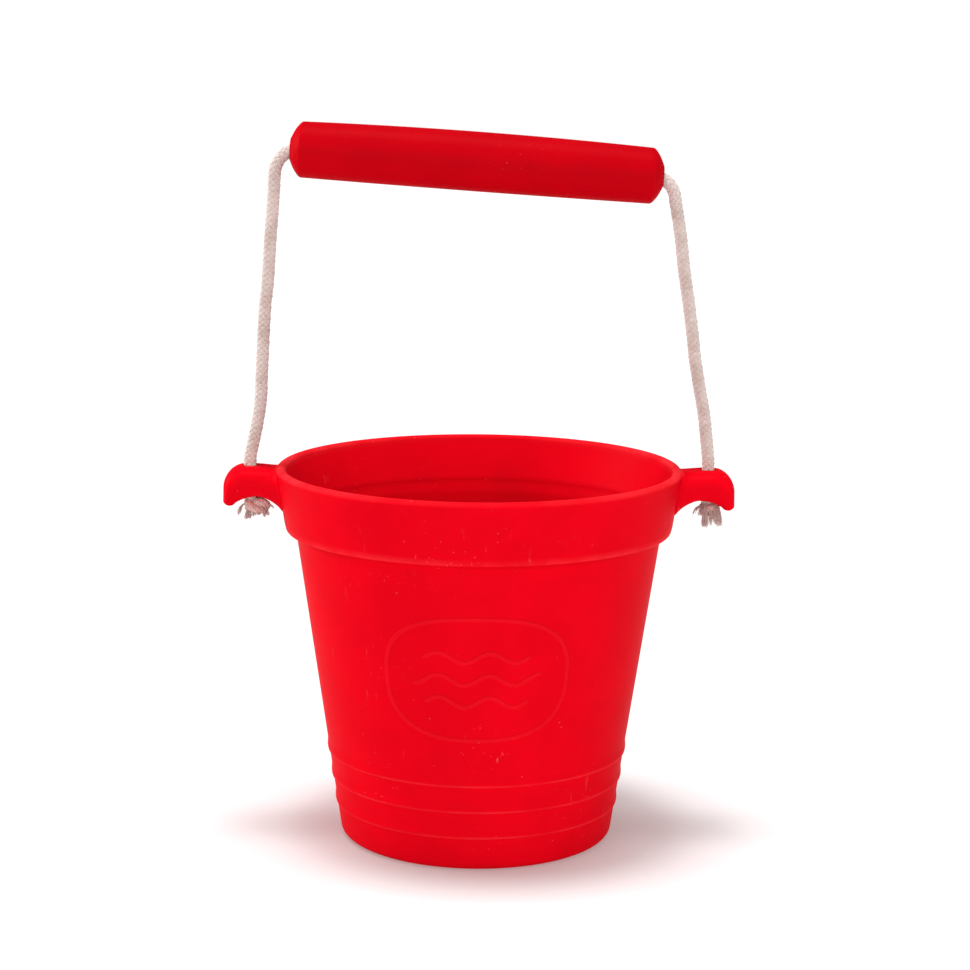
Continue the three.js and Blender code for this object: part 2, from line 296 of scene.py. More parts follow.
def braid_strands(line, reference, strands, lead, rope_radius, strand_radius, wander):
    """Strand k of a set winds as angle = 2 pi (s / lead + k / strands), one set clockwise and one not.
    Its middle is at radius m + a cos(2 pi strands s / lead), and the other set's at m - a cos(...), so that
    it rides over one crossing and under the next. A flat little ring is swept along each strand."""
    tangent, side, normal = frames_along(line, reference)
    s = np.concatenate([[0], np.cumsum(np.linalg.norm(np.diff(line, axis=0), axis=1))])
    ride = STRAND_RIDE * strand_radius
    middle = rope_radius - strand_radius - ride
    turn = 2 * np.pi * np.arange(STRAND_SIDES) / STRAND_SIDES
    points, faces, caps, shade = [], [], [], []
    start = 0
    for way in (1, -1):
        for k in range(strands):
            angle = way * (2 * np.pi * s / lead) + 2 * np.pi * k / strands
            crossing = 2 * np.pi * strands * s / lead + (0 if way > 0 else np.pi)
            radius = middle + ride * np.cos(crossing) + wander[len(caps) // 2] * strand_radius
            spoke = np.cos(angle)[:, None] * side + np.sin(angle)[:, None] * normal
            centre = line + radius[:, None] * spoke
            along = unit(np.gradient(centre, axis=0))
            outward = unit(spoke - (spoke * along).sum(1, keepdims=True) * along)
            across = np.cross(along, outward)
            ring = (np.cos(turn)[None, :, None] * across[:, None] * STRAND_WIDE
                    + np.sin(turn)[None, :, None] * outward[:, None] * STRAND_FLAT)
            points.append(centre[:, None] + strand_radius * ring)
            faces.append(grid_faces(len(line), STRAND_SIDES, False, True) + start)
            last = start + (len(line) - 1) * STRAND_SIDES
            caps.append(list(range(start, start + STRAND_SIDES))[::-1])
            caps.append(list(range(last, last + STRAND_SIDES)))
            shade.append(np.full(points[-1].shape[:2], (k * 2 + (way > 0)) / (2 * strands)))
            start += len(line) * STRAND_SIDES
    points = np.concatenate([each.reshape(-1, 3) for each in points])
    shade = np.concatenate([each.ravel() for each in shade])
    return points, np.concatenate(faces), caps, shade


random = np.random.default_rng(7)
FRONT = np.array([0.0, 1.0, 0.0])
wander = random.normal(0, 0.05, 2 * STRANDS_EACH_WAY)
rope_points, rope_faces, rope_caps, rope_shade = braid_strands(
    rope_line, FRONT, STRANDS_EACH_WAY, BRAID_LEAD, ROPE_RADIUS + ROPE_SPREAD, STRAND_RADIUS, wander)
rope = mesh_object("rope_braid", rope_points, rope_faces, rope_caps)
float_attribute(rope, "strand", rope_shade)
tell(rope)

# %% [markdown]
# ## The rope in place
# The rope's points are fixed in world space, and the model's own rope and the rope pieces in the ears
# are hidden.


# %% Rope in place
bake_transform(rope)
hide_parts("handle_rope", "rope_in_left_ear", "rope_in_right_ear")

# %% [markdown]
# ## The pail's half section
# The pail is turned about +Z from one closed outline, as the mould itself was. Going up the outside:
# flat base, base round, tapered wall with three shingled rings, the collar's lower edge, the collar and
# the fully round rim; then down the inside, over a soft low ledge behind the collar, to the floor. Each
# round is a true arc with its own points, because light catches exactly those edges. The ledge follows
# the ease curve 3t^2 - 2t^3, which starts and ends level with the wall.

# %% Pail sizes
WALL = 3.3 * MM
FLOOR = 3.5 * MM
BASE_RADIUS = 45.5 * MM
BASE_ROUND = 3 * MM
FLOOR_FILLET = 5 * MM
COLLAR_HEIGHT = 21 * MM
COLLAR_STEP = 3.4 * MM
COLLAR_ROUND = 1.1 * MM
COLLAR_ROOT = 0.9 * MM
LEDGE_STEP = 1.2 * MM
LEDGE_REACH = 3 * MM
RING_FIRST = 11.2 * MM
RING_PITCH = 9 * MM
RING_COUNT = 3
RING_LIP = 0.5 * MM
RING_EDGE = 0.28 * MM
RING_RUN = 4.2 * MM
COLLAR_BOTTOM = HEIGHT - COLLAR_HEIGHT
TAPER = (RIM_RADIUS - COLLAR_STEP - BASE_RADIUS) / HEIGHT


def wall_radius(z):
    """Outside of the plain wall: base radius plus taper times height."""
    return BASE_RADIUS + TAPER * z


def arc(centre, radius, start, end, steps):
    """Points (r, z) on a circle from one angle to another, in degrees."""
    angle = np.radians(np.linspace(start, end, steps))
    return np.stack([centre[0] + radius * np.cos(angle), centre[1] + radius * np.sin(angle)], axis=1)


def stretch(start, end, steps):
    """Points on a straight line between two points, without its ends."""
    return np.linspace(start, end, steps + 2)[1:-1]


def ring_lip(edge):
    """One shingle: a small round edge at its foot, then back into the wall along half a cosine."""
    foot = np.array([wall_radius(edge), edge])
    rounding = arc((foot[0] + RING_LIP - RING_EDGE, edge + RING_EDGE), RING_EDGE, -90, 0, 5)
    z = np.linspace(edge + 2 * RING_EDGE, edge + RING_RUN, 9)
    fade = 0.5 + 0.5 * np.cos(np.pi * (z - z[0]) / (z[-1] - z[0]))
    return np.vstack([foot, rounding, np.stack([wall_radius(z) + RING_LIP * fade, z], axis=1)])


# %% Pail outline
rim = WALL / 2
lean = math.degrees(math.atan(TAPER))
collar_foot = wall_radius(COLLAR_BOTTOM) + COLLAR_STEP
ledge = COLLAR_BOTTOM + WALL
ledge_inner = wall_radius(ledge) - WALL
ledge_outer = ledge_inner + LEDGE_STEP
ledge_ease = np.linspace(0, 1, 13)[:-1, None]
ledge_curve = np.hstack([
    ledge_outer + (ledge_inner - ledge_outer) * ledge_ease ** 2 * (3 - 2 * ledge_ease),
    ledge + LEDGE_REACH * (1 - 2 * ledge_ease),
])
fillet_z = FLOOR + FLOOR_FILLET
fillet_r = wall_radius(fillet_z) - WALL - FLOOR_FILLET
foot_r = wall_radius(BASE_ROUND) - BASE_ROUND
outline = [
    stretch((0, 0), (foot_r, 0), 14),
    arc((foot_r, BASE_ROUND), BASE_ROUND, -90, -lean, 9),
]
for ring in range(RING_COUNT):
    outline.append(ring_lip(RING_FIRST + ring * RING_PITCH))
last_ring = RING_FIRST + (RING_COUNT - 1) * RING_PITCH + RING_RUN
wall_top = COLLAR_BOTTOM - COLLAR_ROOT
outline += [
    stretch((wall_radius(last_ring), last_ring), (wall_radius(wall_top), wall_top), 24),
    arc((wall_radius(wall_top) + COLLAR_ROOT, wall_top), COLLAR_ROOT, 180 - lean, 90, 6),
    arc((collar_foot - COLLAR_ROUND, COLLAR_BOTTOM + COLLAR_ROUND), COLLAR_ROUND, -90, -lean, 8),
    stretch((collar_foot + TAPER * COLLAR_ROUND, COLLAR_BOTTOM + COLLAR_ROUND),
            (RIM_RADIUS - TAPER * rim, HEIGHT - rim), 10),
    arc((RIM_RADIUS - rim, HEIGHT - rim), rim, -lean, 180 - lean, 17),
    stretch((RIM_RADIUS - WALL, HEIGHT - rim), (ledge_outer, ledge + LEDGE_REACH), 10),
    ledge_curve,
    stretch((ledge_inner, ledge - LEDGE_REACH), (wall_radius(fillet_z) - WALL, fillet_z), 26),
    arc((fillet_r, fillet_z), FLOOR_FILLET, 0, -90, 11),
    stretch((fillet_r, FLOOR), (0, FLOOR), 12),
]
outline = np.vstack(outline)
print(f"pail outline: {len(outline)} points, collar from z = {COLLAR_BOTTOM / MM:.1f} mm")

# %% [markdown]
# ## Turning the pail
# A point (r, z) of the outline becomes (r cos a, r sin a, z) for every angle a. Where the outline meets
# the axis, a fan of triangles closes it to one vertex.

# %% Pail
PAIL_COLUMNS = 288


def turned(name, profile, columns, bottom=None, top=None):
    """Surface of revolution about +Z; bottom and top are the heights of closing points on the axis."""
    angle = 2 * np.pi * np.arange(columns) / columns
    r, z = profile[:, 0][:, None], profile[:, 1][:, None]
    points = np.stack([r * np.cos(angle), r * np.sin(angle), np.broadcast_to(z, (len(r), columns))], axis=2)
    faces = grid_faces(len(profile), columns, False, True)
    points = points.reshape(-1, 3)
    fans = []
    around = np.arange(columns)
    for pole, first, flip in ((bottom, 0, True), (top, (len(profile) - 1) * columns, False)):
        if pole is not None:
            a, b = first + around, first + (around + 1) % columns
            tip = np.full(columns, len(points))
            fans += np.stack([b, a, tip] if flip else [a, b, tip], axis=1).tolist()
            points = np.vstack([points, [[0, 0, pole]]])
    return mesh_object(name, points, faces, fans)


pail = turned("bucket", outline, PAIL_COLUMNS, bottom=0.0, top=FLOOR)
tell(pail)

# %% [markdown]
# ## The ears
# Each ear is a thick hook: a bar that leaves the collar level with the rim, rolls over at its outer end
# and comes down to a lip, with an arch underneath where the knot sits. It is a section carried along the
# bar. At every step a top and a bottom point set its height, and the section between them is a
# superellipse, |a|^3 + |b|^3 = 1, a box with very soft edges. The underside is two parabolas that meet
# at the arch's crown. Towards the collar the section widens along a quarter circle, the moulded fillet.

# %% Ear sizes
EAR_WIDTH = 18 * MM
EAR_NECK = 10.2 * MM
EAR_LIP_DEPTH = 12.5 * MM
EAR_LIP_WIDTH = 4.2 * MM
EAR_ROOT_DEPTH = 17 * MM
EAR_ROOT_SAG = 0.6 * MM
EAR_SHOULDER = 7 * MM
EAR_FILLET = 3 * MM
EAR_STEPS = 64
EAR_COLUMNS = 72
EAR_FOOT_STEPS = 9
EAR_FOOT_DROP = 0.75 * MM
EAR_FOOT_ROUND = 1.2 * MM
SQUARENESS = 3.0
root_x = RIM_RADIUS - 0.6 * WALL
low_root_x = root_x - 0.15 * EAR_ROOT_DEPTH
lip_z = EAR_TOP - EAR_LIP_DEPTH
arch_z = EAR_TOP - EAR_NECK
arch_end = EAR_REACH - EAR_LIP_WIDTH
crown = (73.6 * MM, arch_z)


def bezier(start, middle, end, steps):
    """Quadratic curve (1-t)^2 start + 2t(1-t) middle + t^2 end, without its last point."""
    t = np.linspace(0, 1, steps, endpoint=False)[:, None]
    return (1 - t) ** 2 * np.array(start) + 2 * t * (1 - t) * np.array(middle) + t ** 2 * np.array(end)


def even_line(points, steps):
    """A flat line resampled to a number of points at equal spacing."""
    along = np.concatenate([[0], np.cumsum(np.linalg.norm(np.diff(points, axis=0), axis=1))])
    even = np.linspace(0, along[-1], steps)
    return np.stack([np.interp(even, along, points[:, axis]) for axis in range(2)], axis=1)


def ear_lines():
    """Upper and lower edge of the ear's side view, both from the collar to the foot of the lip."""
    upper = np.vstack([
        [(root_x, EAR_TOP - EAR_ROOT_SAG)],
        bezier((RIM_RADIUS, EAR_TOP - EAR_ROOT_SAG), (HOLE_X - 4 * MM, EAR_TOP), (HOLE_X, EAR_TOP), 8),
        arc((EAR_REACH - EAR_SHOULDER, EAR_TOP - EAR_SHOULDER), EAR_SHOULDER, 90, 0, 14),
        [(EAR_REACH, lip_z + EAR_FOOT_ROUND)],
    ])
    lower = np.vstack([
        bezier((low_root_x, EAR_TOP - EAR_ROOT_DEPTH), (RIM_RADIUS + 1.5 * MM, arch_z), crown, 14),
        bezier(crown, (crown[0] + 3.6 * MM, arch_z), (arch_end, lip_z + 0.3 * MM), 12),
        [(arch_end, lip_z + 0.3 * MM)],
    ])
    return even_line(upper, EAR_STEPS), even_line(lower, EAR_STEPS)


def ear(name, side):
    """The superellipse section swept from the collar to the lip, then drawn in to close the lip's foot."""
    upper, lower = ear_lines()
    draw = np.linspace(0, np.pi / 2, EAR_FOOT_STEPS + 1)[1:]
    drop = np.array([0, -EAR_FOOT_DROP])
    end_middle, end_half = (upper[-1] + lower[-1]) / 2, (upper[-1] - lower[-1]) / 2
    middle = np.vstack([(upper + lower) / 2, end_middle + np.sin(draw)[:, None] * drop])
    half = np.vstack([(upper - lower) / 2, np.cos(draw)[:, None] ** 0.6 * end_half])
    width = np.full(len(middle), EAR_WIDTH / 2)
    width[-EAR_FOOT_STEPS:] -= EAR_FOOT_ROUND * (1 - np.cos(draw) ** 0.6)
    turn = 2 * np.pi * np.arange(EAR_COLUMNS) / EAR_COLUMNS
    power = 2 / SQUARENESS
    rise = np.sign(np.cos(turn)) * np.abs(np.cos(turn)) ** power
    span = np.sign(np.sin(turn)) * np.abs(np.sin(turn)) ** power
    flat = middle[:, None] + rise[None, :, None] * half[:, None]
    collar_x = RIM_RADIUS - TAPER * (EAR_TOP - flat[..., 1])
    gap = np.clip(flat[..., 0] - collar_x, 0, EAR_FILLET)
    flare = EAR_FILLET - np.sqrt(EAR_FILLET ** 2 - (EAR_FILLET - gap) ** 2)
    across = (width[:, None] + flare) * span[None, :]
    points = np.stack([side * flat[..., 0], side * across, flat[..., 1]], axis=2)
    faces = grid_faces(len(middle), EAR_COLUMNS, False, True)[:, ::-1]
    first, last = range(EAR_COLUMNS), range((len(middle) - 1) * EAR_COLUMNS, len(middle) * EAR_COLUMNS)
    return mesh_object(name, points, faces, [list(first), list(last)[::-1]])


right_ear = ear("right_ear", 1)
left_ear = ear("left_ear", -1)
tell(right_ear)

# %% [markdown]
# ## Joining the moulding
# In the mould the ears and the pail are one cavity, so they become one mesh here too. An exact boolean
# adds the ears and then cuts each rope hole, whose upper mouth flares so that the rope doesn't chafe.

# %% Join ears and cut holes
HOLE_RADIUS = ROPE_RADIUS + 0.35 * MM
HOLE_FLARE = 0.7 * MM
CUTTER_LOW = arch_z - 6 * MM
CUTTER_HIGH = EAR_TOP + 2 * MM
SHARP_ANGLE = math.radians(42)


def rope_hole(name, side):
    """A cutter turned about the hole's axis: radius grows as a quarter circle at the top mouth."""
    flare = arc((HOLE_RADIUS + HOLE_FLARE, EAR_TOP - HOLE_FLARE), HOLE_FLARE, 180, 90, 7)
    profile = np.vstack([
        [(HOLE_RADIUS, CUTTER_LOW)],
        stretch((HOLE_RADIUS, CUTTER_LOW), (HOLE_RADIUS, EAR_TOP - HOLE_FLARE), 6),
        flare,
        [(HOLE_RADIUS + HOLE_FLARE, CUTTER_HIGH)],
    ])
    cutter = turned(name, profile, 48, bottom=CUTTER_LOW, top=CUTTER_HIGH)
    cutter.data.transform(Matrix.Translation((side * HOLE_X, 0, 0)))
    return cutter


def combine(target, tool, operation):
    """Applies one exact boolean to target's mesh and deletes the tool."""
    modifier = target.modifiers.new("combine", "BOOLEAN")
    modifier.operation = operation
    modifier.solver = "EXACT"
    modifier.object = tool
    bpy.context.view_layer.update()
    finished = bpy.data.meshes.new_from_object(target.evaluated_get(bpy.context.evaluated_depsgraph_get()))
    target.modifiers.clear()
    target.data = finished
    bpy.data.objects.remove(tool)


for each in (right_ear, left_ear):
    combine(pail, each, "UNION")
for side in (1, -1):
    combine(pail, rope_hole("hole_cutter", side), "DIFFERENCE")
pail.data.name = "bucket"
pail.data.shade_smooth()
pail.data.set_sharp_from_angle(angle=SHARP_ANGLE)
tell(pail)

# %% [markdown]
# ## Where the silicone is worn, and painted highlights on its edges
# Edges that rub turn pale, and edges that catch the light are painted pale as a highlight. One number
# per point says how pale a place is. A band round the rim is faint at the front and strongest at the
# sides by the ears: a little wear, with a painted highlight on the rim's lit ends. A thin painted
# highlight line runs along each ring and the collar's foot, and falls off in a straight line from its
# middle. The inside and the ears are left alone.

# %% Worn edges and painted highlights
RIM_BAND = 1.8 * MM
RIM_FRONT_SHARE = 0.15
EDGE_HIGHLIGHT = 0.7
LINE_HALF_WIDTH = 0.22 * MM
LINE_RISE = 0.35 * MM
spots = np.empty(3 * len(pail.data.vertices))
pail.data.vertices.foreach_get("co", spots)
spots = spots.reshape(-1, 3)
reach = np.hypot(spots[:, 0], spots[:, 1])
level = spots[:, 2]
sideways = (spots[:, 0] / RIM_RADIUS) ** 2
wear_and_highlight = np.clip((level - HEIGHT + RIM_BAND) / (1.0 * MM), 0, 1)
# The rim band is weak at the front and grows towards the sides: painted highlight on the rim's ends, over a
# little wear.
wear_and_highlight *= RIM_FRONT_SHARE + (1 - RIM_FRONT_SHARE) * sideways
edges = [RING_FIRST + ring * RING_PITCH for ring in range(RING_COUNT)]
edges.append(COLLAR_BOTTOM + 0.4 * MM)
# A thin pale line just above each ring edge and the collar's foot: a painted highlight where the edge
# catches the light.
for edge in edges:
    wear_and_highlight += EDGE_HIGHLIGHT * np.clip(1.6 - np.abs(level - edge - LINE_RISE) / LINE_HALF_WIDTH, 0, 1)
wear_and_highlight *= reach > wall_radius(level) - 0.3 * WALL
wear_and_highlight *= reach < RIM_RADIUS + 0.5 * MM
float_attribute(pail, "wear_and_highlight", wear_and_highlight)
print("worn points:", int((wear_and_highlight > 0).sum()))
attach(pail, "bucket")
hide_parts("bucket_body")

# %% [markdown]
# ## The low panel on the front
# The front carries a low moulded mark. Here it is a plain oval line with three waves inside, each a
# rounded ridge less than a quarter of a millimetre high. A ridge is a half-round section carried along
# a path that is drawn flat, in distance round the wall and height, and then wrapped onto the wall.

# %% Panel ridges
PANEL_Z = 66 * MM
PANEL_HALF_WIDTH = 30 * MM
PANEL_HALF_HEIGHT = 20.5 * MM
PANEL_ROUNDNESS = 2.6
RIDGE_HALF_WIDTH = 0.75 * MM
RIDGE_HEIGHT = 0.22 * MM
RIDGE_SUNK = 0.25 * MM
WAVE_HEIGHT = 1.7 * MM
WAVE_SCALE = 2.6 * MM
WAVES = [(7.5 * MM, 17 * MM), (0.0, 21 * MM), (-7.5 * MM, 17 * MM)]
OVAL_STEPS, WAVE_STEPS = 260, 150


def ridge(path, closed):
    """Half-round ridge: across the path the height is h cos(b), for b from one foot to the other, and
    two sunk corners close it underneath. An open path thins to a point at each end."""
    lift = np.radians(np.linspace(-90, 90, 7))
    section_x = np.concatenate([RIDGE_HALF_WIDTH * np.sin(lift), [RIDGE_HALF_WIDTH, -RIDGE_HALF_WIDTH]])
    section_h = np.concatenate([RIDGE_HEIGHT * np.cos(lift), [-RIDGE_SUNK, -RIDGE_SUNK]])
    if closed:
        direction = unit(np.roll(path, -1, axis=0) - np.roll(path, 1, axis=0))
        size = np.ones(len(path))
    else:
        direction = unit(np.gradient(path, axis=0))
        end = np.minimum(np.arange(len(path)), np.arange(len(path))[::-1]) / 6
        size = np.sqrt(np.clip(1 - (1 - np.clip(end, 0.02, 1)) ** 2, 0, 1))
    across = np.stack([-direction[:, 1], direction[:, 0]], axis=1)
    flat = path[:, None] + across[:, None] * (section_x[None, :] * size[:, None])[..., None]
    height = section_h[None, :] * np.where(section_h[None, :] > 0, size[:, None], 1)
    radius = wall_radius(flat[..., 1])
    angle = flat[..., 0] / wall_radius(PANEL_Z) - np.pi / 2
    radius = radius + height
    points = np.stack([radius * np.cos(angle), radius * np.sin(angle), flat[..., 1]], axis=2)
    faces = grid_faces(len(path), len(section_x), closed, True)
    last = (len(path) - 1) * len(section_x)
    caps = [] if closed else [list(range(len(section_x)))[::-1], list(range(last, last + len(section_x)))]
    return points.reshape(-1, 3), faces, caps


def oval(half_width, half_height, steps):
    """Superellipse |x/a|^p + |z/b|^p = 1 about the panel's middle, walked anticlockwise."""
    turn = 2 * np.pi * np.arange(steps) / steps
    power = 2 / PANEL_ROUNDNESS
    x = half_width * np.sign(np.cos(turn)) * np.abs(np.cos(turn)) ** power
    z = half_height * np.sign(np.sin(turn)) * np.abs(np.sin(turn)) ** power
    dense = np.stack([x, PANEL_Z + z], axis=1)
    return even_line(np.vstack([dense, dense[:1]]), steps)[:-1]


def wave(height, half_length, steps):
    """One wave line: z = height + wave height sin(x / scale)."""
    x = np.linspace(-half_length, half_length, steps)
    return np.stack([x, PANEL_Z + height + WAVE_HEIGHT * np.sin(x / WAVE_SCALE)], axis=1)


parts = [ridge(oval(PANEL_HALF_WIDTH, PANEL_HALF_HEIGHT, OVAL_STEPS), True)]
for height, half_length in WAVES:
    parts.append(ridge(wave(height, half_length, WAVE_STEPS), False))
offset, points, faces, caps = 0, [], [], []
for part_points, part_faces, part_caps in parts:
    points.append(part_points)
    faces.append(part_faces + offset)
    caps += [[corner + offset for corner in cap] for cap in part_caps]
    offset += len(part_points)
panel = mesh_object("front_panel_ridges", np.vstack(points), np.vstack(faces), caps)
panel.data.set_sharp_from_angle(angle=math.radians(60))
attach(panel, "bucket")
tell(panel)

# %% [markdown]
# ## The grip
# The grip is a silicone tube, a little fatter in the middle, with short conical tips that bulge
# slightly, and a bore whose mouths widen. It is turned as one closed outline about its own axis, bowed
# up very slightly, and laid along the axis of its joint.

# %% Grip
GRIP_MIDDLE_RADIUS = 9.7 * MM
GRIP_END_RADIUS = 9.1 * MM
GRIP_TIP_RADIUS = 3.5 * MM
GRIP_SHOULDER_RADIUS = 6.7 * MM
GRIP_SHOULDER_IN = 1.5 * MM
GRIP_TIP_ROUND = 1.3 * MM
GRIP_BORE = ROPE_RADIUS + 0.6 * MM
GRIP_FUNNEL = 5 * MM
GRIP_STRAIGHT = 8 * MM
GRIP_MOUTH = 0.5 * MM
GRIP_EDGE = 1.5 * MM
GRIP_BOW = 0.4 * MM
GRIP_COLUMNS = 96


def rounded(profile, radius, steps=6):
    """Replaces each inner corner of a flat line by a quadratic curve of about the given radius."""
    profile = np.asarray(profile, float)
    out = [profile[:1]]
    for before, corner, after in zip(profile[:-2], profile[1:-1], profile[2:]):
        start = corner + unit(before - corner) * min(radius, np.linalg.norm(before - corner) / 2.2)
        end = corner + unit(after - corner) * min(radius, np.linalg.norm(after - corner) / 2.2)
        out.append(np.vstack([bezier(start, corner, end, steps), end]))
    return np.vstack(out + [profile[-1:]])


half = GRIP_LENGTH / 2
barrel = np.linspace(-(half - GRIP_TIP - GRIP_EDGE), half - GRIP_TIP - GRIP_EDGE, 25)
swell = GRIP_MIDDLE_RADIUS - (GRIP_MIDDLE_RADIUS - GRIP_END_RADIUS) * (barrel / (half - GRIP_TIP)) ** 2
tip = rounded([
    (swell[-1], barrel[-1]), (GRIP_END_RADIUS, half - GRIP_TIP),
    (GRIP_SHOULDER_RADIUS, half - GRIP_SHOULDER_IN), (GRIP_TIP_RADIUS, half),
    (GRIP_BORE + GRIP_MOUTH, half), (GRIP_BORE, half - GRIP_FUNNEL), (GRIP_BORE, half - GRIP_STRAIGHT),
], GRIP_TIP_ROUND)
grip_outline = np.vstack([
    np.stack([swell, barrel], axis=1)[1:-1],
    tip,
    stretch((GRIP_BORE, half - GRIP_STRAIGHT), (GRIP_BORE, GRIP_STRAIGHT - half), 12),
    (tip * (1, -1))[::-1],
])
turn = 2 * np.pi * np.arange(GRIP_COLUMNS) / GRIP_COLUMNS
radius, along = grip_outline[:, 0][:, None], grip_outline[:, 1][:, None]
bow = GRIP_BOW * (1 - (along / half) ** 2)
grip_up = np.cross(GRIP_AXIS, FRONT)
grip_points = (GRIP_CENTRE + along[..., None] * GRIP_AXIS
               + (radius * np.cos(turn))[..., None] * FRONT
               + (radius * np.sin(turn) + bow)[..., None] * grip_up)
grip = mesh_object("grip", grip_points, grid_faces(len(grip_outline), GRIP_COLUMNS, True, True)[:, ::-1])
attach(grip, "grip")
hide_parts("grip_sleeve")
tell(grip)

# %% [markdown]
# ## The knots
# Under each ear the rope is tied in a tight stopper knot. A trefoil is the closed form of the overhand
# knot, and pulled tight it fills a small ball under the arch. The same braid is swept along it, a
# little thinner because it is squeezed. The left knot is the bigger, and both hang off the hole's axis.

# %% Knots
KNOT_SHIFT = {-1: 2.0 * MM, 1: 0.7 * MM}
KNOT_SIZE = {-1: 1.0, 1: 0.8}
KNOT_SWEEP = np.array([2.4, 0.8, 1.25]) * MM
KNOT_RISE = 0.4 * MM
KNOT_ROPE_RADIUS = 1.75 * MM
KNOT_STRAND_RADIUS = 0.58 * MM
UP = np.array([0.0, 0.0, 1.0])


def knot_line(side):
    """Trefoil: angle a goes twice round, at radius R + e cos(3a/2) and height f sin(3a/2)."""
    a = np.linspace(0, 4 * np.pi, 120)
    big, swing, lift = KNOT_SIZE[side] * KNOT_SWEEP
    radius = big + swing * np.cos(1.5 * a)
    line = np.stack([radius * np.cos(side * a), radius * np.sin(side * a), lift * np.sin(1.5 * a)], axis=1)
    return line + np.array([side * HOLE_X + KNOT_SHIFT[side], 0, KNOT_Z + KNOT_RISE])


def rope_knot(name, side):
    line = resampled(knot_line(side), 0.4 * MM)
    points, faces, caps, shade = braid_strands(
        line, UP, STRANDS_EACH_WAY, 0.8 * BRAID_LEAD, KNOT_ROPE_RADIUS * KNOT_SIZE[side],
        KNOT_STRAND_RADIUS * KNOT_SIZE[side], wander)
    piece = mesh_object(name, points, faces, caps)
    float_attribute(piece, "strand", shade)
    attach(piece, "bucket")
    return piece


right_knot, left_knot = rope_knot("right_rope_knot", 1), rope_knot("left_rope_knot", -1)
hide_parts("right_knot")
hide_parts("left_knot")
tell(right_knot)

# %% [markdown]
# ## The frayed ends
# Past the knot the cotton has come apart into yarns, and each yarn into fibres. A yarn is a guide curve
# that leaves the knot and droops; its fibres follow it and spread as they go, each with a slight wave.
# A fibre is a thin three-sided tube that tapers.

# %% Fibres
FIBRE_SIDES = 3
FIBRE_STEPS = 10
FIBRE_RADIUS = 0.095 * MM
FIBRE_TIP = 0.45
FIBRE_SCATTER = 0.25 * MM
FIBRE_CURL = 0.12 * MM
FRAY_ROOT = 1.6 * MM
ANY_WAY = np.array([0.31, 0.87, 0.38])


def fibres(lines, thickness):
    """Thin tapered tubes along many short lines at once: lines is (fibres, steps, 3)."""
    tangent = unit(np.gradient(lines, axis=1))
    side = unit(np.cross(tangent, ANY_WAY))
    normal = np.cross(side, tangent)
    turn = 2 * np.pi * np.arange(FIBRE_SIDES) / FIBRE_SIDES
    taper = np.linspace(1, FIBRE_TIP, lines.shape[1])[None, :, None, None]
    ring = (np.cos(turn)[:, None] * side[:, :, None] + np.sin(turn)[:, None] * normal[:, :, None])
    points = lines[:, :, None] + thickness * taper * ring
    one = grid_faces(lines.shape[1], FIBRE_SIDES, False, True)
    block = lines.shape[1] * FIBRE_SIDES
    starts = block * np.arange(len(lines))
    faces = (one[None] + starts[:, None, None]).reshape(-1, 4)
    caps = [[s + 2, s + 1, s] for s in starts]
    caps += [[s + block - 3, s + block - 2, s + block - 1] for s in starts]
    return points.reshape(-1, 3), faces, caps


def frayed_end(name, side, seed, yarns):
    """Fibre j of a yarn: guide(t) + spread(t) * offset_j + wave, with t from 0 at the knot to 1."""
    draw = np.random.default_rng(seed)
    t = np.linspace(0, 1, FIBRE_STEPS)
    bundles = []
    for lean_x, lean_y, top, droop, count in yarns:
        start = np.array([0.45 * lean_x, 0.45 * lean_y, top]) * MM
        bend = np.array([0.95 * lean_x, 0.95 * lean_y, top - 0.5]) * MM
        end = np.array([lean_x, lean_y, -droop]) * MM
        guide = (1 - t)[:, None] ** 2 * start + (2 * t * (1 - t))[:, None] * bend + (t ** 2)[:, None] * end
        offset = draw.normal(0, FIBRE_SCATTER, (count, 1, 3)) * np.array([1, 1, 0.5])
        spread = (0.55 + 0.75 * t ** 1.6)[None, :, None]
        reach = draw.uniform(0.82, 1.08, (count, 1, 1))
        phase = draw.uniform(0, 2 * np.pi, (count, 1, 3))
        curl = FIBRE_CURL * np.sin(phase + 7 * t[None, :, None]) * t[None, :, None]
        bundles.append(guide[0] + (guide - guide[0])[None] * reach + offset * spread + curl)
    root = np.array([side * HOLE_X + KNOT_SHIFT[side], 0, knot_low[2] + FRAY_ROOT])
    points, faces, caps = fibres(root + np.vstack(bundles), FIBRE_RADIUS)
    piece = mesh_object(name, points, faces, caps)
    block = FIBRE_STEPS * FIBRE_SIDES
    float_attribute(piece, "strand", np.repeat(draw.uniform(0, 1, len(points) // block), block))
    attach(piece, "bucket")
    return piece


